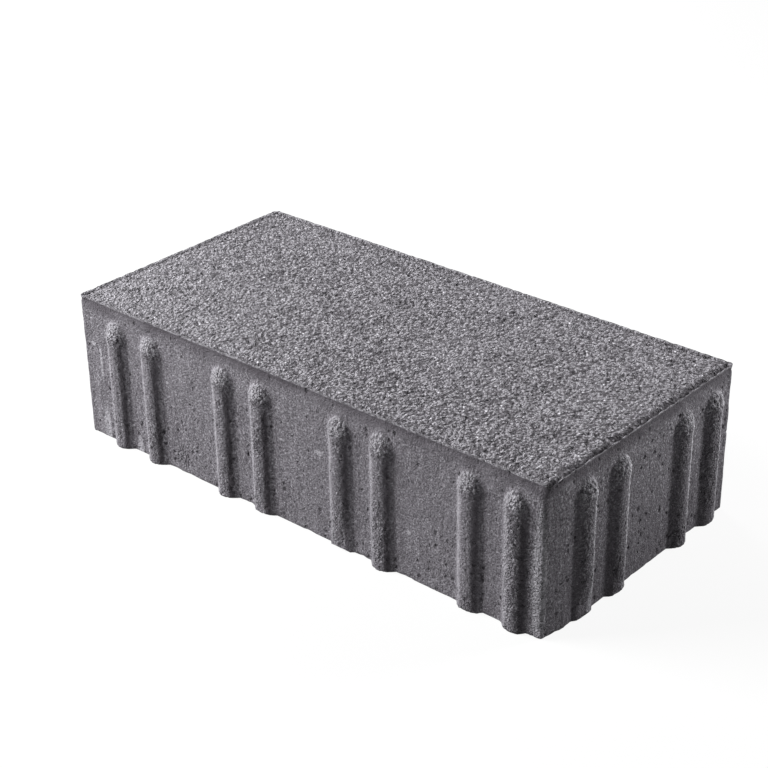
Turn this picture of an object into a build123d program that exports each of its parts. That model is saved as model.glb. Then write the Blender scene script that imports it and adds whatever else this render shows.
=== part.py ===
from build123d import *
import os

# Concrete paver with spacer ribs, pressed in one piece.
#
# The block lies on its bed face (z = 0) with its wearing face up. Length runs along X and width
# along Y, and the origin is at the centre of the bed face. Upright ribs on all four sides keep
# the joints open when the pavers are laid. Seen square on from outside, each row of ribs sits a
# little to the right of the middle of its side, so that the ribs of two neighbours pass each
# other instead of meeting crest to crest. The block is the same after half a turn.

# Block, in millimetres
block_length = 194.0        # body along X, without the ribs
block_width = 94.0          # body along Y, without the ribs
block_height = 52.0
corner_radius = 1.0         # upright corners of the body
arris_width = 0.6           # bevel round the wearing face, measured across the top
arris_depth = 0.5           # the same bevel, measured down the side

# Laying pattern
joint_width = 6.0           # sand joint between the bodies of two pavers
long_side_pairs = 4         # pairs of ribs on each long side
short_side_pairs = 2        # pairs of ribs on each short side

# Spacer ribs
rib_width = 9.3             # across the foot of a rib
rib_projection = 2.7        # from the side of the body to the crest
rib_spacing = 16.6          # centre to centre of the two ribs of a pair
rib_blend = 0.6             # hollow fillet where a rib meets the side
long_side_shift = 2.8       # middle of the row of ribs, to the right of the middle of its side
short_side_shift = 4.2
rib_top_gap = 5.0           # plain band between the wearing face and the tips of the ribs
rib_nose_height = 6.0       # length over which a rib dies away into the side

# A rib is a round pin, half buried in the side of the body. Above nose_start an arc carries its
# crest back into the side, and on to a point inside the body.
half_foot = rib_width / 2
pin_radius = (half_foot ** 2 + rib_projection ** 2) / (2 * rib_projection)
pin_depth = pin_radius - rib_projection
nose_tip = block_height - rib_top_gap
nose_start = nose_tip - rib_nose_height
nose_radius = (rib_nose_height ** 2 + rib_projection ** 2) / (2 * rib_projection)
nose_apex = nose_start + (nose_radius ** 2 - (nose_radius - pin_radius) ** 2) ** 0.5
same_place = 0.001


def rib_places(side_length, pairs, shift):
    """Distances of the ribs from the middle of a side, counted to the right."""
    pitch = (side_length + joint_width) / pairs
    middles = [shift + (index - (pairs - 1) / 2) * pitch for index in range(pairs)]
    return [middle + end * rib_spacing / 2 for middle in middles for end in (-1, 1)]


def is_rib_foot(edge):
    """True for an edge in which a rib meets the flat of a side."""
    middle = edge.position_at(0.5)
    on_long_side = abs(abs(middle.Y) - block_width / 2) < same_place
    on_short_side = abs(abs(middle.X) - block_length / 2) < same_place
    top = edge.bounding_box().max.Z
    return (on_long_side or on_short_side) and same_place < top < nose_tip + same_place


# One rib: an upright pin with a pointed nose
with BuildPart() as rib:
    with BuildSketch(Plane.XZ):
        with BuildLine():
            Line((0, 0), (pin_radius, 0))
            Line((pin_radius, 0), (pin_radius, nose_start))
            TangentArc((pin_radius, nose_start), (0, nose_apex), tangent=(0, 1))
            Line((0, nose_apex), (0, 0))
        make_face()
    revolve(axis=Axis.Z)

# Body: a block with rounded upright corners and a bevelled top edge
with BuildPart() as paver:
    with BuildSketch():
        RectangleRounded(block_length, block_width, corner_radius)
    extrude(amount=block_height)
    top_rim = paver.faces().sort_by(Axis.Z)[-1]
    chamfer(top_rim.edges(), length=arris_depth, length2=arris_width)

    # Ribs on the front and right sides, then the same again after half a turn. Each pin's seam
    # is turned into the body.
    front = -block_width / 2 + pin_depth
    right = block_length / 2 - pin_depth
    long_row = rib_places(block_length, long_side_pairs, long_side_shift)
    short_row = rib_places(block_width, short_side_pairs, short_side_shift)
    long_side = [Location((x, front, 0), (0, 0, 90)) for x in long_row]
    short_side = [Location((right, y, 0), (0, 0, 180)) for y in short_row]
    with PolarLocations(0, 2):
        with Locations(*long_side, *short_side):
            add(rib.part)

    # Hollow blend round the foot of every rib
    fillet(paver.edges().filter_by(is_rib_foot), radius=rib_blend)

paver.part.label = "paver"

os.makedirs("parts", exist_ok=True)
export_step(paver.part, "parts/paver.step")
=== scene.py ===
import math

import bmesh
import bpy
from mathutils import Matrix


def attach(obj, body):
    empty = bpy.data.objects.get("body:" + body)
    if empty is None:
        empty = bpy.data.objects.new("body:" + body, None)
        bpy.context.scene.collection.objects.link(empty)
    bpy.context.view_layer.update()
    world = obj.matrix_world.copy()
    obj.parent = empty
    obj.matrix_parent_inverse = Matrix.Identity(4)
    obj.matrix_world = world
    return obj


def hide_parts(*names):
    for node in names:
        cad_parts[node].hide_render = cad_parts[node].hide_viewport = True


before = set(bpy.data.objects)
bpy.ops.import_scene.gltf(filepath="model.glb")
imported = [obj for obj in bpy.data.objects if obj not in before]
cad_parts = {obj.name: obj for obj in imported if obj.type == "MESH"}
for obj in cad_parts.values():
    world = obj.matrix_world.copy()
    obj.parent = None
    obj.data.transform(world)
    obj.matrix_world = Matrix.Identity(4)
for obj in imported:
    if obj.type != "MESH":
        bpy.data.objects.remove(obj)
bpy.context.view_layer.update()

# A concrete paver with spacer ribs, pressed in one piece. It lies on its bed face, z = 0.
# The patterns work in millimetres, the scene in metres.
MM = 0.001

# The block, as in the CAD source
body_half_length = 97.0
body_half_width = 47.0
block_height = 52.0
rib_reach = 2.7
pair_pitch = 50.0
rib_spacing = 16.6
pair_on_long_side = 27.8
pair_on_short_side = 29.2

# The cast's mesh
clay_size_mm = 0.42
box_gap = 0.01
most_triangles = 197000

# Wearing face, in millimetres
grain_size = 1.05
fine_grain_size = 0.64
grain_depth = 0.4
fine_grain_depth = 0.24
pit_depth = 0.5
face_unevenness = 0.14
face_lift = 0.12

# Rim of the wearing face: a thin burr with a hollow inside it and a narrow one below it
burr_width = 0.5
burr_lip = 0.45
low_burr = 0.2
high_burr = 0.7
hollow_start = 3.0
hollow_middle = 1.3
end_hollow = 0.85
side_hollow = 0.25
groove_below_burr = 0.28

# Pressed sides. The noses of the ribs go from smooth to rough between two heights.
nose_foot = 37.5
nose_full = 41.5
crumb_size = 0.78
speck_size = 0.7
sand_size = 0.62
pore_spacing = 2.2
rib_wear = 0.14
nose_bulge = 0.28
sway_depth = 0.32
streak_depth = 0.16
sand_depth = 0.34
speck_height = 0.1
pore_depth = 0.35
crumb_depth = 0.28
crumb_height = 0.1
crumb_hole_depth = 0.3

# Bump, for what the mesh can't carry
bump_distance = 1.4
bump_sand_size = 0.45
bump_sand_height = 0.14

# Greys of the wearing face, from 0, black, to 1, white
grain_greys = (0.17, 0.37)
fine_grain_grey = 0.52
white_grain_grey = 0.6
dust_grey = 0.08
# painted shade in the gaps and pits of the wearing face
gap_shade_grey = 0.02
# painted light: the wearing face paler towards the near left
left_light_grey = 0.6
sparkle_grey = 0.8
scratch_grey = 0.5

# Greys of the pressed sides
streak_greys = (0.13, 0.19)
cloudy_grey = 0.25
dark_sand_grey = 0.045
pale_sand_grey = 0.4
# painted shade inside the pores
pore_shade_grey = 0.035
speck_grey = 0.45
crumb_greys = (0.07, 0.48)
# pale noses: paler broken concrete, and partly painted light
cap_grey = 0.5
# painted highlight on the lit shoulders of the ribs
shoulder_highlight_grey = 0.4
glint_grey = 0.85
salt_grey = 0.6
# painted shade, beside the ribs and in the hollow inside the burr
painted_shade_grey = 0.04
scuff_grey = 0.46
# painted shadow at the foot of the right end
end_shadow_grey = 0.07
# darker band just below the rim
under_rim_grey = 0.065
# painted shade, darkening the right half of the sides
falloff_shade_grey = 0.075
# painted shade in the groove below the burr
groove_shade_grey = 0.05
# pale rim line: worn concrete, and partly a painted highlight on the burr
worn_and_lit_edge_grey = 0.45
broad_patch_grey = 0.24

# Single places: where, how far they reach along each axis, and how much
worn_feet = (
    ((19.5, -49.7, 0.0), (7.0, 4.0, 16.0), 1.45),
    ((-13.9, -49.7, 0.0), (5.0, 3.0, 7.0), 0.6),
    ((99.7, -29.1, 0.0), (4.0, 7.0, 15.0), 1.6),
    ((99.7, -12.5, 0.0), (3.0, 5.0, 8.0), 0.7),
)
rough_places = (
    ((-51.0, -47.0, 5.5), (5.0, 4.0, 6.5), 1.0),
    ((86.1, -49.7, 22.0), (8.0, 6.0, 40.0), 1.0),
    ((36.1, -49.7, 13.0), (7.0, 6.0, 20.0), 1.0),
    ((-13.9, -49.7, 27.0), (7.0, 6.0, 12.0), 0.8),
    ((19.5, -49.7, 5.0), (7.0, 6.0, 9.0), 0.8),
    ((94.5, -47.0, 16.0), (6.0, 4.0, 44.0), 1.6),
    ((99.7, -28.8, 24.0), (6.0, 8.0, 34.0), 1.0),
    ((99.7, -12.5, 5.0), (6.0, 8.0, 14.0), 1.0),
    ((99.7, 18.5, 2.0), (6.0, 8.0, 10.0), 1.0),
    ((99.7, 34.6, 22.0), (6.0, 8.0, 30.0), 1.0),
)
pale_marks = (
    ((-89.0, -47.0, 5.0), (2.8, 4.0, 12.0), 0.8),
    ((-89.4, -47.0, 29.0), (1.2, 4.0, 13.0), 0.6),
    ((-92.8, -47.0, 35.0), (2.2, 4.0, 1.5), 0.6),
    ((-72.6, -47.0, 2.0), (2.6, 4.0, 6.5), 0.8),
    ((10.4, -47.0, 30.5), (2.8, 4.0, 2.0), 0.7),
    ((46.5, -47.0, 16.5), (1.5, 4.0, 1.2), 0.7),
    ((-5.0, -47.0, 29.5), (3.0, 4.0, 1.0), 0.5),
    ((-56.5, -47.0, 32.0), (1.4, 4.0, 1.3), 0.6),
    ((-31.5, -42.8, 52.0), (6.5, 1.2, 3.0), 0.9),
    ((94.5, -47.0, 18.0), (4.0, 4.0, 40.0), 1.0),
    ((97.0, -39.0, 48.6), (4.0, 6.5, 1.3), 0.7),
    ((97.0, 1.5, 10.0), (4.0, 1.6, 1.5), 0.7),
    ((97.0, 15.0, 15.3), (4.0, 2.0, 1.5), 0.7),
)
faint_rib = ((-91.0, -47.0, 14.0), (2.6, 4.0, 27.0), 0.3)
front_corner_lean = 1.4
front_corner_wear = 0.6

# Studio, in metres and watts: each soft lamp's name, width, height, place and power
softboxes = (
    ("key", 0.55, 0.26, (-0.62, -0.45, 0.49), 15.2),
    ("back_left", 0.3, 0.3, (-0.70, 0.42, 0.36), 4.5),
    ("side", 0.12, 0.12, (0.25, 0.27, 0.17), 0.98),
)
plain_white = (1.0, 1.0, 1.0, 1.0)
floor_size = 8.0
floor_bounce = 0.35
floor_glow = 0.9
room_light = 0.015
lens_length = 83.06
film_width = 36.0
camera_place = (0.33488, -0.38373, 0.30148)
camera_turn = (62.066, 0.814, 40.998)


def deselect_all():
    bpy.ops.object.select_all(action="DESELECT")


def pick(piece):
    """Selects one object and makes it the active one."""
    deselect_all()
    piece.select_set(True)
    bpy.context.view_layer.objects.active = piece


def finish_with(piece, kind, **settings):
    """Adds a modifier and applies it."""
    pick(piece)
    modifier = piece.modifiers.new(kind.lower(), kind)
    for name, value in settings.items():
        setattr(modifier, name, value)
    bpy.ops.object.modifier_apply(modifier=modifier.name)


# Nodes that shader trees and geometry trees both have


def node(tree, kind, inputs=None, **settings):
    """A new node, with its settings, its input values and the links into it."""
    made = tree.nodes.new(kind)
    for name, value in settings.items():
        setattr(made, name, value)
    for name, value in (inputs or {}).items():
        if isinstance(value, bpy.types.NodeSocket):
            tree.links.new(value, made.inputs[name])
        else:
            made.inputs[name].default_value = value
    return made


def calc(tree, operation, a, b=0.0, c=0.0):
    """One sum, product or comparison of numbers."""
    return node(tree, "ShaderNodeMath", {0: a, 1: b, 2: c}, operation=operation).outputs[0]


def times(tree, *amounts):
    """All the amounts multiplied."""
    total = amounts[0]
    for amount in amounts[1:]:
        total = calc(tree, "MULTIPLY", total, amount)
    return total


def plus(tree, total, share, amount):
    """The total with so much of a share added."""
    return calc(tree, "MULTIPLY_ADD", share, amount, total)


def rest(tree, share):
    """What is left of 1."""
    return calc(tree, "SUBTRACT", 1.0, share)


def largest(tree, *amounts):
    best = amounts[0]
    for amount in amounts[1:]:
        best = calc(tree, "MAXIMUM", best, amount)
    return best


def move(tree, operation, a, b=(0.0, 0.0, 0.0)):
    """One sum or product of vectors."""
    return node(tree, "ShaderNodeVectorMath", {0: a, 1: b}, operation=operation).outputs[0]


def swell(tree, value, low, high, at_low=0.0, at_high=1.0):
    """Goes smoothly from one amount to another while the value goes from low to high."""
    return node(
        tree,
        "ShaderNodeMapRange",
        {"Value": value, "From Min": low, "From Max": high, "To Min": at_low, "To Max": at_high},
        interpolation_type="SMOOTHSTEP",
    ).outputs["Result"]


def band(tree, value, low, high, soft):
    """1 between two values, 0 outside them."""
    rise = swell(tree, value, low - soft, low + soft)
    return times(tree, rise, swell(tree, value, high - soft, high + soft, 1.0, 0.0))


def cloud(tree, place, size, detail=2.0, roughness=0.5):
    """Cloudy unevenness of about 0 to 1, with lumps of that size."""
    return node(
        tree,
        "ShaderNodeTexNoise",
        {"Vector": place, "Scale": 1 / size, "Detail": detail, "Roughness": roughness},
    ).outputs[0]


def parts(tree, vector):
    """The three numbers of a vector or colour."""
    return node(tree, "ShaderNodeSeparateXYZ", {0: vector}).outputs


def near(tree, place, centre, size):
    """1 at a place, fading to 0 at a distance of size along each axis."""
    apart = move(tree, "DIVIDE", move(tree, "SUBTRACT", place, centre), size)
    length = node(tree, "ShaderNodeVectorMath", {0: apart}, operation="LENGTH").outputs["Value"]
    return swell(tree, length, 0.0, 1.0, 1.0, 0.0)


def any_of(tree, place, spots):
    """The strongest of several places."""
    return largest(tree, *(times(tree, near(tree, place, *spot[:2]), spot[2]) for spot in spots))


# Patterns of the concrete. The relief and the colour both use them, so that dark pits are hollow;
# where the colour darkens in the hollows, that is painted shade.


def warped(tree, place, size, amount):
    """The place, pushed about by up to the amount, so that grains have uneven outlines."""
    push = node(tree, "ShaderNodeTexNoise", {"Vector": place, "Scale": 1 / size, "Detail": 1.0})
    push = move(tree, "SUBTRACT", push.outputs["Color"], (0.5, 0.5, 0.5))
    return move(tree, "ADD", place, move(tree, "MULTIPLY", push, (2 * amount,) * 3))


def lumps(tree, place, size, warp):
    """Rounded lumps side by side: 1 on top, 0 in the gaps, and a random colour for each."""
    uneven = warped(tree, place, size, warp * size)
    made = node(tree, "ShaderNodeTexVoronoi", {"Vector": uneven, "Scale": 1 / size})
    return swell(tree, made.outputs["Distance"], 0.08, 0.78, 1.0, 0.0), made.outputs["Color"]


class Facing:
    """Open, granular concrete of the wearing face: its depth in millimetres, and its parts."""

    def __init__(self, tree, place):
        self.grain, self.grain_colour = lumps(tree, place, grain_size, 0.28)
        self.fine, self.fine_colour = lumps(tree, place, fine_grain_size, 0.3)
        cluster = cloud(tree, place, 11.0, 1.0)
        openness = swell(tree, cluster, 0.35, 0.7, 0.62, 0.55)
        hole = cloud(tree, place, 1.6, 1.5)
        self.pit = swell(tree, calc(tree, "SUBTRACT", hole, openness), 0.0, 0.1)
        depth = calc(tree, "MULTIPLY_ADD", rest(tree, self.grain), grain_depth, -face_lift)
        depth = plus(tree, depth, rest(tree, self.fine), fine_grain_depth)
        depth = plus(tree, depth, self.pit, pit_depth)
        self.depth = plus(tree, depth, cloud(tree, place, 3.2, 2.0), face_unevenness)


def pores(tree, place, z):
    """Small round holes of many sizes, more of them low down. 1 in a hole."""
    uneven = warped(tree, place, 1.2, 0.4)
    made = node(tree, "ShaderNodeTexVoronoi", {"Vector": uneven, "Scale": 1 / pore_spacing})
    share = parts(tree, made.outputs["Color"])[0]
    lower = swell(tree, z, 5.0, 28.0, 0.22, 0.0)
    width = swell(tree, calc(tree, "ADD", share, lower), 0.45, 1.1, 0.0, 0.38)
    return swell(tree, calc(tree, "SUBTRACT", width, made.outputs["Distance"]), 0.0, 0.16)


class Pressed:
    """Denser concrete of the pressed sides, rough on the rib noses and in some places."""

    def __init__(self, tree, place, proud, z):
        on_rib = swell(tree, proud, 0.3, 1.2)
        self.nose = times(tree, on_rib, swell(tree, z, nose_foot, nose_full))
        tall = move(tree, "MULTIPLY", place, (1.0, 1.0, 0.4))
        patch = swell(tree, cloud(tree, tall, 8.0, 2.0), 0.4, 0.62, 0.2, 0.8)
        rough = largest(tree, self.nose, times(tree, on_rib, patch))
        ragged = swell(tree, cloud(tree, place, 3.0, 3.0), 0.3, 0.5)
        marked = times(tree, any_of(tree, place, rough_places), ragged)
        self.rough = largest(tree, rough, swell(tree, marked, 0.15, 0.5))
        self.crumb, self.crumb_colour = lumps(tree, place, crumb_size, 0.5)
        hole = swell(tree, cloud(tree, place, 1.2, 1.5), 0.56, 0.68)
        crumbly = calc(tree, "MULTIPLY_ADD", rest(tree, self.crumb), crumb_depth, -crumb_height)
        crumbly = plus(tree, crumbly, hole, crumb_hole_depth)
        self.sand = cloud(tree, place, sand_size, 3.0, 0.7)
        self.streak = cloud(tree, move(tree, "MULTIPLY", place, (1.0, 1.0, 0.1)), 1.4, 3.0, 0.6)
        self.speck, self.speck_colour = lumps(tree, place, speck_size, 0.4)
        self.pore = pores(tree, place, z)
        depth = times(tree, on_rib, rib_wear)
        depth = plus(tree, depth, self.nose, -nose_bulge)
        sway = calc(tree, "SUBTRACT", cloud(tree, place, 7.0, 3.0, 0.6), 0.5)
        depth = plus(tree, depth, sway, sway_depth)
        depth = plus(tree, depth, calc(tree, "SUBTRACT", self.streak, 0.5), streak_depth)
        depth = plus(tree, depth, calc(tree, "SUBTRACT", self.sand, 0.5), sand_depth)
        depth = plus(tree, depth, calc(tree, "SUBTRACT", 0.5, self.speck), speck_height)
        depth = plus(tree, depth, self.pore, pore_depth)
        self.depth = plus(tree, depth, crumbly, self.rough)


def where(tree, place):
    """X, Y and Z, how far past the body's end and long side, and how far proud of both."""
    x, y, z = parts(tree, place)
    past_end = calc(tree, "SUBTRACT", calc(tree, "ABSOLUTE", x), body_half_length)
    past_side = calc(tree, "SUBTRACT", calc(tree, "ABSOLUTE", y), body_half_width)
    return x, y, z, past_end, past_side, calc(tree, "MAXIMUM", past_end, past_side)


def beside_rib(tree, along, pair):
    """How far to the right of the nearest rib's middle, at that distance along a side."""
    half = pair_pitch / 2
    from_pair = calc(tree, "WRAP", calc(tree, "SUBTRACT", along, pair), half, -half)
    return plus(tree, from_pair, calc(tree, "SIGN", from_pair), -rib_spacing / 2)


def rib_sides(tree, x, y, past_end, past_side):
    """Painted highlights on the ribs' lit shoulders, their brightest edges, and painted shade in
    the strip beside each rib.
    """
    right_long = beside_rib(tree, times(tree, x, calc(tree, "SIGN", y), -1.0), pair_on_long_side)
    right_short = beside_rib(tree, times(tree, y, calc(tree, "SIGN", x)), pair_on_short_side)
    on_long = swell(tree, past_side, 0.3, 1.0)
    on_short = swell(tree, past_end, 0.3, 1.0)
    lit = largest(
        tree,
        times(tree, on_long, swell(tree, right_long, -2.8, -0.8, 0.62, 0.0)),
        times(tree, on_short, swell(tree, right_short, 0.4, 2.6, 0.0, 0.8)),
    )
    glint = times(tree, on_short, band(tree, right_short, 1.3, 3.6, 0.7))
    by_long = band(tree, right_long, 2.2, 3.7, 0.45)
    by_long = times(tree, by_long, swell(tree, past_side, -1.2, -0.5), 0.95)
    by_short = band(tree, right_short, -5.4, -1.4, 1.2)
    by_short = times(tree, by_short, swell(tree, past_end, -1.2, -0.5), 0.35)
    return lit, glint, largest(tree, by_long, by_short)


def rim_hollow(tree, place):
    """Ragged hollow just inside the burr, deepest along the right end. 1 where it is deepest."""
    x, y, _, past_end, past_side, _ = where(tree, warped(tree, place, 3.0, 0.5))
    broken = swell(tree, cloud(tree, place, 2.5, 3.0), 0.3, 0.55, 0.65, 1.0)
    at_right_end = swell(tree, x, 0.0, 1.0, side_hollow / end_hollow, 1.0)
    made = []
    for past, share in ((past_end, at_right_end), (past_side, side_hollow / end_hollow)):
        inside = times(tree, past, -1.0)
        inner = swell(tree, inside, hollow_middle, hollow_start, 1.0, 0.0)
        outer = swell(tree, inside, -0.08, burr_width)
        made.append(times(tree, inner, outer, share))
    ridge = band(tree, times(tree, past_end, -1.0), 1.9, 2.3, 0.25)
    ridge = times(tree, ridge, swell(tree, y, -25.0, 0.0, 0.9, 0.2), swell(tree, x, 0.0, 1.0))
    return times(tree, largest(tree, *made), broken, rest(tree, ridge))


def below_burr(tree, place, z):
    """Narrow hollow in the sides, right below the burr."""
    wavy = plus(tree, z, cloud(tree, place, 3.0, 2.0), 0.8)
    return band(tree, wavy, 50.2, 51.2, 0.35)


# The cast


def push_in(tree, offset, direction, amount):
    """Adds to an offset: that many millimetres against a direction."""
    step = node(
        tree,
        "ShaderNodeVectorMath",
        {0: direction, "Scale": times(tree, amount, -MM)},
        operation="SCALE",
    ).outputs[0]
    return move(tree, "ADD", offset, step)


def new_relief(name):
    """An empty geometry tree, with its input and its output."""
    tree = bpy.data.node_groups.new(name, "GeometryNodeTree")
    tree.interface.new_socket("cast", in_out="INPUT", socket_type="NodeSocketGeometry")
    tree.interface.new_socket("cast", in_out="OUTPUT", socket_type="NodeSocketGeometry")
    return tree, node(tree, "NodeGroupInput"), node(tree, "NodeGroupOutput")


def put_at(tree, start, end, position):
    """Ends a geometry tree: every point of the cast goes to its new position."""
    shaped = node(
        tree, "GeometryNodeSetPosition", {"Geometry": start.outputs[0], "Position": position}
    )
    tree.links.new(shaped.outputs[0], end.inputs[0])


def inside_mould(tree, position):
    """The position, kept just inside the box of the CAD body."""
    reach_x = (body_half_length + rib_reach - box_gap) * MM
    reach_y = (body_half_width + rib_reach - box_gap) * MM
    high = (block_height - box_gap) * MM
    kept = move(tree, "MINIMUM", position, (reach_x, reach_y, high))
    return move(tree, "MAXIMUM", kept, (-reach_x, -reach_y, box_gap * MM))


def relief_tree():
    """Geometry nodes that work the relief into the cast."""
    tree, start, end = new_relief("relief")
    position = node(tree, "GeometryNodeInputPosition").outputs[0]
    normal = node(tree, "GeometryNodeInputNormal").outputs[0]
    place = move(tree, "MULTIPLY", position, (1 / MM,) * 3)
    x, y, z, past_end, past_side, proud = where(tree, place)
    inside = times(tree, proud, -1.0)
    up = parts(tree, normal)[2]
    high = swell(tree, z, block_height - 0.6, block_height - 0.1)
    top = times(tree, high, swell(tree, up, 0.2, 0.7))
    side = rest(tree, top)

    # general relief, along the surface's own direction
    facing = Facing(tree, place)
    pressed = Pressed(tree, place, proud, z)
    calm_rim = swell(tree, inside, 0.0, burr_width, 0.25, 1.0)
    off_bed = swell(tree, z, 0.02, 2.0, 0.1, 1.0)
    below_rim = swell(tree, z, block_height - 1.2, block_height - 0.4, 1.0, 0.3)
    depth = times(tree, facing.depth, top, calm_rim)
    calm_corner = swell(tree, calc(tree, "ADD", past_end, past_side), -2.0, -0.5, 1.0, 0.5)
    side_depth = times(tree, pressed.depth, side, off_bed, calm_corner)
    depth = plus(tree, depth, side_depth, below_rim)
    offset = push_in(tree, (0.0, 0.0, 0.0), normal, depth)

    # rim: a thin burr, with one hollow inside it and one below it
    hollow = times(tree, rim_hollow(tree, place), top, end_hollow)
    offset = push_in(tree, offset, (0.0, 0.0, 1.0), hollow)
    crest = times(
        tree,
        swell(tree, z, block_height - 2.2, block_height - 0.5),
        swell(tree, inside, 0.0, burr_width, 1.0, 0.0),
    )
    lift = swell(tree, cloud(tree, place, 2.5, 3.0), 0.3, 0.7, -low_burr, -high_burr)
    offset = push_in(tree, offset, (0.0, 0.0, 1.0), times(tree, crest, lift))
    lip = times(tree, swell(tree, z, block_height - 1.1, block_height - 0.5), crest)
    offset = push_in(tree, offset, normal, times(tree, lip, -burr_lip))
    groove = times(tree, below_burr(tree, place, z), side, groove_below_burr)
    offset = push_in(tree, offset, normal, groove)

    # worn rib feet, the faint extra rib, and the front corner, which leans in below the rim
    for centre, size, deep in worn_feet:
        gone = times(tree, near(tree, place, centre, size), deep, swell(tree, proud, 0.0, 2.0))
        offset = push_in(tree, offset, normal, gone)
    centre, size, high = faint_rib
    offset = push_in(tree, offset, normal, times(tree, near(tree, place, centre, size), -high))
    lean = times(
        tree,
        swell(tree, y, -46.5, -37.0, front_corner_lean, 0.0),
        swell(tree, x, 85.0, 95.5),
        swell(tree, z, 46.0, 51.0, 1.0, 0.0),
    )
    offset = push_in(tree, offset, (1.0, 0.0, 0.0), lean)

    # upright corners, which bulge a little apart from the worn front one, and the bed's edge
    corner = swell(tree, calc(tree, "ADD", past_end, past_side), -2.2, -0.4)
    chip = swell(tree, cloud(tree, place, 6.0, 3.0), 0.35, 0.75, -0.42, -0.2)
    at_front = times(tree, swell(tree, x, 90.0, 96.0), swell(tree, y, -46.0, -40.0, 1.0, 0.0))
    chip = plus(tree, chip, at_front, front_corner_wear)
    offset = push_in(tree, offset, normal, times(tree, corner, chip, side))
    bed_edge = times(tree, swell(tree, z, 0.0, 1.5, 1.0, 0.0), side)
    chip = swell(tree, cloud(tree, place, 6.0, 2.0), 0.45, 0.75, 0.0, 0.3)
    offset = push_in(tree, offset, normal, times(tree, bed_edge, chip))

    put_at(tree, start, end, inside_mould(tree, move(tree, "ADD", position, offset)))
    return tree


def trim_tree():
    """Geometry nodes that press anything that sticks out back into the mould."""
    tree, start, end = new_relief("trim")
    position = node(tree, "GeometryNodeInputPosition").outputs[0]
    put_at(tree, start, end, inside_mould(tree, position))
    return tree


def drop_idle_points(piece):
    """Dissolves points between just two faces, which would fold over each other."""
    mesh = bmesh.new()
    mesh.from_mesh(piece.data)
    idle = [point for point in mesh.verts if len(point.link_edges) == 2]
    bmesh.ops.dissolve_verts(mesh, verts=idle)
    mesh.to_mesh(piece.data)
    mesh.free()


def cast_paver():
    """The paver: a fine-meshed copy of the CAD body, with the relief worked into it."""
    cast = bpy.data.objects.new("paver_cast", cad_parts["paver"].data.copy())
    bpy.context.collection.objects.link(cast)
    pick(cast)
    bpy.ops.object.mode_set(mode="EDIT")
    bpy.ops.mesh.select_all(action="SELECT")
    bpy.ops.mesh.remove_doubles(threshold=0.001 * MM)
    bpy.ops.object.mode_set(mode="OBJECT")
    finish_with(cast, "REMESH", mode="VOXEL", voxel_size=clay_size_mm * MM)
    finish_with(cast, "NODES", node_group=relief_tree())
    triangles = sum(len(face.vertices) - 2 for face in cast.data.polygons)
    finish_with(cast, "DECIMATE", ratio=min(1.0, most_triangles / triangles))
    drop_idle_points(cast)
    finish_with(cast, "NODES", node_group=trim_tree())
    pick(cast)
    bpy.ops.object.shade_smooth()
    return cast


# Finishes


def mixed(tree, share, a, b):
    """Colour a, going to colour b as the share goes from 0 to 1."""
    made = node(tree, "ShaderNodeMix", data_type="RGBA")
    for socket, value in ((made.inputs[0], share), (made.inputs[6], a), (made.inputs[7], b)):
        if isinstance(value, bpy.types.NodeSocket):
            tree.links.new(value, socket)
        else:
            socket.default_value = value
    return made.outputs[2]


def grey(value):
    """The concrete's grey, which leans a little to purple, more so where it is dark."""
    lean = 0.014 / (value + 0.05)
    return (value * (1 + lean), value, value * (1.05 + lean), 1.0)


def facing_colour(tree, place, x, y, facing):
    """Light grains, with painted shade in the gaps and pits, painted light that makes the face
    paler towards the near left, and a few sparkling grains.
    """
    shade = parts(tree, facing.grain_colour)
    fine_shade = parts(tree, facing.fine_colour)
    dark, pale = grain_greys
    tone = plus(tree, swell(tree, shade[0], 0.0, 1.0), facing.grain, 0.6)
    colour = mixed(tree, swell(tree, tone, 0.1, 1.5), grey(dark), grey(pale))
    light = times(tree, facing.fine, swell(tree, fine_shade[0], 0.35, 1.0))
    colour = mixed(tree, times(tree, light, 0.6), colour, grey(fine_grain_grey))
    light = times(tree, facing.fine, swell(tree, fine_shade[1], 0.86, 0.94), 0.8)
    colour = mixed(tree, light, colour, grey(white_grain_grey))
    dust = cloud(tree, place, 0.4, 2.0, 0.7)
    colour = mixed(tree, swell(tree, dust, 0.5, 0.75, 0.0, 0.4), colour, grey(dust_grey))
    # painted shade: the gaps between grains and the pits are darkened
    gap = swell(tree, facing.grain, 0.06, 0.42, 0.74, 0.0)
    gap = largest(tree, gap, times(tree, facing.pit, 0.85))
    colour = mixed(tree, gap, colour, grey(gap_shade_grey))
    # painted light: paler towards the near left of the wearing face
    painted_left_light = swell(tree, plus(tree, x, y, 1.2), -160.0, -20.0, 0.16, 0.0)
    colour = mixed(tree, painted_left_light, colour, grey(left_light_grey))
    sparkle = times(
        tree, swell(tree, shade[1], 0.955, 0.97), swell(tree, facing.grain, 0.55, 0.85), 0.9
    )
    return mixed(tree, sparkle, colour, grey(sparkle_grey))


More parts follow.
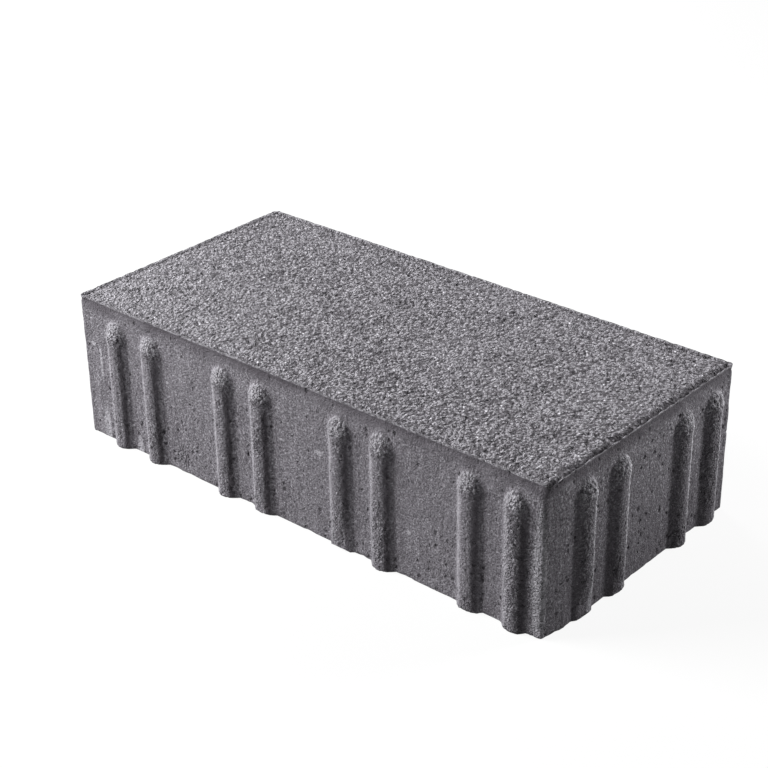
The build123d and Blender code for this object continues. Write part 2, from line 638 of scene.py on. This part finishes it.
def sandy_colour(tree, pressed, mottle, speck):
    """Streaked and sandy, with pores darkened by painted shade, and light and dark specks."""
    dark, pale = streak_greys
    colour = mixed(tree, swell(tree, pressed.streak, 0.3, 0.7), grey(dark), grey(pale))
    colour = mixed(tree, swell(tree, mottle, 0.35, 0.75, 0.0, 0.4), colour, grey(cloudy_grey))
    sand = swell(tree, pressed.sand, 0.47, 0.64, 0.0, 0.85)
    colour = mixed(tree, sand, colour, grey(dark_sand_grey))
    sand = swell(tree, pressed.sand, 0.3, 0.46, 0.85, 0.0)
    colour = mixed(tree, sand, colour, grey(pale_sand_grey))
    # painted shade in the pores
    colour = mixed(tree, times(tree, pressed.pore, 0.7), colour, grey(pore_shade_grey))
    bright = times(tree, swell(tree, speck[0], 0.82, 0.95), pressed.speck, 0.8)
    colour = mixed(tree, bright, colour, grey(speck_grey))
    dark = times(tree, swell(tree, speck[1], 0.78, 0.92), pressed.speck, 0.7)
    return mixed(tree, dark, colour, grey(dark_sand_grey))


def side_colour(tree, place, pressed, mottle):
    """The pressed sides: sandy, with crumbly places, pale caps, scuffs, painted highlights on the
    rib shoulders and painted shade beside the ribs.
    """
    x, y, z, past_end, past_side, proud = where(tree, place)
    speck = parts(tree, pressed.speck_colour)
    colour = sandy_colour(tree, pressed, mottle, speck)

    # crumbly places
    dark, pale = crumb_greys
    crumb_shade = parts(tree, pressed.crumb_colour)[0]
    # the crumbs are darkest in the gaps between them, painted shade there; their own tone varies
    # at random
    crumb_tone = times(tree, pressed.crumb, swell(tree, crumb_shade, 0.1, 0.9, 0.25, 1.0))
    crumb = mixed(tree, crumb_tone, grey(dark), grey(pale))
    colour = mixed(tree, times(tree, pressed.rough, 0.75), colour, crumb)

    # ribs: pale noses, partly painted light; painted highlights on lit shoulders, with glints;
    # painted shade on the far flank
    lit, glint, painted_rib_shade = rib_sides(tree, x, y, past_end, past_side)
    # pale cap: paler broken concrete on each nose, and partly painted light that lifts the nose's
    # shaded half
    cap = swell(tree, plus(tree, z, mottle, 6.0), 43.5, 45.0)
    cap = times(tree, cap, swell(tree, pressed.crumb, 0.0, 0.4), swell(tree, proud, 0.1, 0.8))
    colour = mixed(tree, times(tree, cap, rest(tree, lit), 0.75), colour, grey(cap_grey))
    # painted highlight on the rib shoulders that face the lamps
    lit = times(tree, lit, swell(tree, mottle, 0.3, 0.6, 0.4, 1.0))
    colour = mixed(tree, lit, colour, grey(shoulder_highlight_grey))
    # painted highlight: glinting lines along the short-side ribs, broken up by speckle
    speckle = swell(tree, cloud(tree, place, 0.9, 3.0, 0.6), 0.42, 0.6, 0.1, 1.0)
    colour = mixed(tree, times(tree, glint, speckle), colour, grey(glint_grey))
    speckle = times(tree, swell(tree, past_end, -0.8, -0.3), swell(tree, speck[2], 0.8, 0.9))
    colour = mixed(tree, times(tree, speckle, pressed.speck, 0.8), colour, grey(salt_grey))
    # painted shade: a dark strip beside each rib on its shaded side, below the nose
    painted_rib_shade = times(tree, painted_rib_shade, swell(tree, z, 35.0, 41.0, 1.0, 0.0))
    colour = mixed(tree, painted_rib_shade, colour, grey(painted_shade_grey))

    # pale marks, and painted shadow darkening the foot of the right end
    marks = times(tree, any_of(tree, place, pale_marks), swell(tree, mottle, 0.25, 0.5, 0.6, 1.0))
    marks = swell(tree, marks, 0.05, 0.6)
    marks = times(tree, marks, swell(tree, pressed.sand, 0.4, 0.6, 1.0, 0.4))
    colour = mixed(tree, marks, colour, grey(scuff_grey))
    # painted shadow: the right end darker towards the bottom
    painted_end_shadow = times(tree, swell(tree, x, 96.0, 97.0), swell(tree, z, 2.0, 36.0, 0.5, 0.0))
    colour = mixed(tree, painted_end_shadow, colour, grey(end_shadow_grey))

    # darker band below the rim, painted shade on the sides' right half and in the groove below
    # the burr
    wide = cloud(tree, move(tree, "MULTIPLY", place, (0.35, 0.35, 1.0)), 4.0, 3.0)
    patchy = cloud(tree, move(tree, "MULTIPLY", place, (0.5, 0.5, 1.0)), 6.0, 2.0)
    # darker band below the rim
    under_rim_band = swell(tree, plus(tree, z, wide, 5.0), 48.5, 52.5)
    under_rim_band = times(tree, under_rim_band, swell(tree, patchy, 0.4, 0.6, 0.6, 1.0))
    colour = mixed(tree, under_rim_band, colour, grey(under_rim_grey))
    # painted shade: the sides darker towards the right, where the light falls off
    painted_falloff = times(tree, band(tree, x, 4.0, 86.0, 8.0), 0.16)
    colour = mixed(tree, painted_falloff, colour, grey(falloff_shade_grey))
    # painted shade in the groove below the burr
    groove = times(tree, below_burr(tree, place, z), 0.55)
    return mixed(tree, groove, colour, grey(groove_shade_grey))


def worn_and_lit_edge(tree, place, z, past_end, inside):
    """The broken line of bare, pale concrete along the rim, fainter on the long sides, partly a
    painted highlight on the burr's crest.
    """
    wavy = plus(tree, inside, cloud(tree, place, 2.0, 2.0), 0.5)
    return times(
        tree,
        swell(tree, wavy, 0.42, 0.9, 1.0, 0.0),
        swell(tree, z, block_height - 0.9, block_height - 0.6),
        swell(tree, cloud(tree, place, 1.2, 3.0), 0.4, 0.6, 0.1, 0.9),
        swell(tree, past_end, -2.0, -1.0, 0.7, 1.0),
    )


def concrete():
    """Anthracite concrete: a granular wearing face, and denser sides with rough rib noses."""
    made = bpy.data.materials.new("concrete")
    made.use_nodes = True
    tree = made.node_tree
    tree.nodes.clear()
    coordinates = node(tree, "ShaderNodeTexCoord").outputs["Object"]
    place = move(tree, "MULTIPLY", coordinates, (1 / MM,) * 3)
    x, y, z, past_end, _, proud = where(tree, place)
    inside = times(tree, proud, -1.0)
    level = plus(tree, z, calc(tree, "MINIMUM", inside, 1.5), 1.6)
    level = plus(tree, level, cloud(tree, place, 2.5, 2.0), 0.4)
    top = swell(tree, level, block_height - 0.3, block_height + 0.1)

    facing = Facing(tree, place)
    pressed = Pressed(tree, place, proud, z)
    mottle = cloud(tree, place, 5.0, 4.0, 0.6)
    face = facing_colour(tree, place, x, y, facing)
    colour = mixed(tree, top, side_colour(tree, place, pressed, mottle), face)
    # painted shade in the hollow inside the burr
    hollow = times(tree, rim_hollow(tree, place), top, 0.85)
    colour = mixed(tree, hollow, colour, grey(painted_shade_grey))
    # pale line along the rim: bare, worn concrete, and partly a painted highlight on the burr's
    # crest
    edge = worn_and_lit_edge(tree, place, z, past_end, inside)
    colour = mixed(tree, edge, colour, grey(worn_and_lit_edge_grey))
    scratch = times(tree, any_of(tree, place, pale_marks), top, 0.6)
    colour = mixed(tree, scratch, colour, grey(scratch_grey))
    broad = swell(tree, cloud(tree, place, 45.0, 2.0), 0.3, 0.7, 0.0, 0.15)
    colour = mixed(tree, broad, colour, grey(broad_patch_grey))

    # bump: the same relief, which the mesh is too coarse to carry in full, and a finer one
    depth = node(tree, "ShaderNodeMix", {0: top}, data_type="FLOAT")
    tree.links.new(pressed.depth, depth.inputs[2])
    tree.links.new(facing.depth, depth.inputs[3])
    rise = times(tree, depth.outputs[0], -1.0)
    rise = plus(tree, rise, cloud(tree, place, bump_sand_size, 3.0, 0.7), bump_sand_height)
    bump = node(
        tree, "ShaderNodeBump", {"Height": rise, "Distance": bump_distance * MM, "Strength": 1.0}
    ).outputs[0]
    surface = node(
        tree,
        "ShaderNodeBsdfPrincipled",
        {
            "Base Color": colour,
            "Roughness": swell(tree, mottle, 0.2, 0.8, 0.82, 0.95),
            "Normal": bump,
            "Specular IOR Level": 0.4,
        },
    )
    node(tree, "ShaderNodeOutputMaterial", {"Surface": surface.outputs[0]})
    return made


def seen_directly(tree):
    """1 for what the camera sees, straight or mirrored, 0 for the light that falls on things."""
    path = node(tree, "ShaderNodeLightPath").outputs
    return largest(
        tree, path["Is Camera Ray"], path["Is Glossy Ray"], path["Is Transmission Ray"]
    )


def pale_floor():
    """White to the camera, apart from the paver's shadow, and a plain pale grey to the light."""
    made = bpy.data.materials.new("pale_floor")
    made.use_nodes = True
    tree = made.node_tree
    tree.nodes.clear()
    plain = node(tree, "ShaderNodeBsdfDiffuse", {"Color": (floor_bounce,) * 3 + (1.0,)})
    lit = node(tree, "ShaderNodeBsdfDiffuse", {"Color": plain_white})
    white = node(tree, "ShaderNodeEmission", {"Color": plain_white, "Strength": 1.0})
    seen = node(
        tree, "ShaderNodeMixShader", {0: floor_glow, 1: lit.outputs[0], 2: white.outputs[0]}
    )
    shown = node(
        tree,
        "ShaderNodeMixShader",
        {0: seen_directly(tree), 1: plain.outputs[0], 2: seen.outputs[0]},
    )
    node(tree, "ShaderNodeOutputMaterial", {"Surface": shown.outputs[0]})
    return made


# Studio


def make_floor():
    deselect_all()
    bpy.ops.mesh.primitive_plane_add(size=floor_size, location=(0.0, 0.0, 0.0))
    floor = bpy.context.object
    floor.name = "floor"
    floor.data.materials.append(pale_floor())


def softbox(name, width, height, place, watts):
    """A soft lamp, aimed at the middle of the paver."""
    lamp = bpy.data.lights.new(name, "AREA")
    lamp.shape = "RECTANGLE"
    lamp.size = width
    lamp.size_y = height
    lamp.energy = watts
    thing = bpy.data.objects.new(name, lamp)
    bpy.context.collection.objects.link(thing)
    thing.location = place
    aim = bpy.data.objects["paver_cast"].location - thing.location
    thing.rotation_euler = aim.to_track_quat("-Z", "Y").to_euler()


def light_studio():
    for lamp in softboxes:
        softbox(*lamp)
    world = bpy.data.worlds.new("studio")
    world.use_nodes = True
    tree = world.node_tree
    tree.nodes.clear()
    dim = node(tree, "ShaderNodeBackground", {"Color": plain_white, "Strength": room_light})
    white = node(tree, "ShaderNodeBackground", {"Color": plain_white, "Strength": 1.0})
    shown = node(
        tree,
        "ShaderNodeMixShader",
        {0: seen_directly(tree), 1: dim.outputs[0], 2: white.outputs[0]},
    )
    node(tree, "ShaderNodeOutputWorld", {"Surface": shown.outputs[0]})
    bpy.context.scene.world = world


def place_camera():
    lens = bpy.data.cameras.new("camera")
    lens.lens = lens_length
    lens.sensor_width = film_width
    lens.clip_start = 0.01
    camera = bpy.data.objects.new("camera", lens)
    bpy.context.collection.objects.link(camera)
    camera.location = camera_place
    camera.rotation_euler = [math.radians(angle) for angle in camera_turn]
    bpy.context.scene.camera = camera


paver = cast_paver()
paver.data.materials.clear()
paver.data.materials.append(concrete())
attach(paver, "root")
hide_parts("paver")

make_floor()
light_studio()
place_camera()
bpy.context.scene.view_settings.view_transform = "Standard"
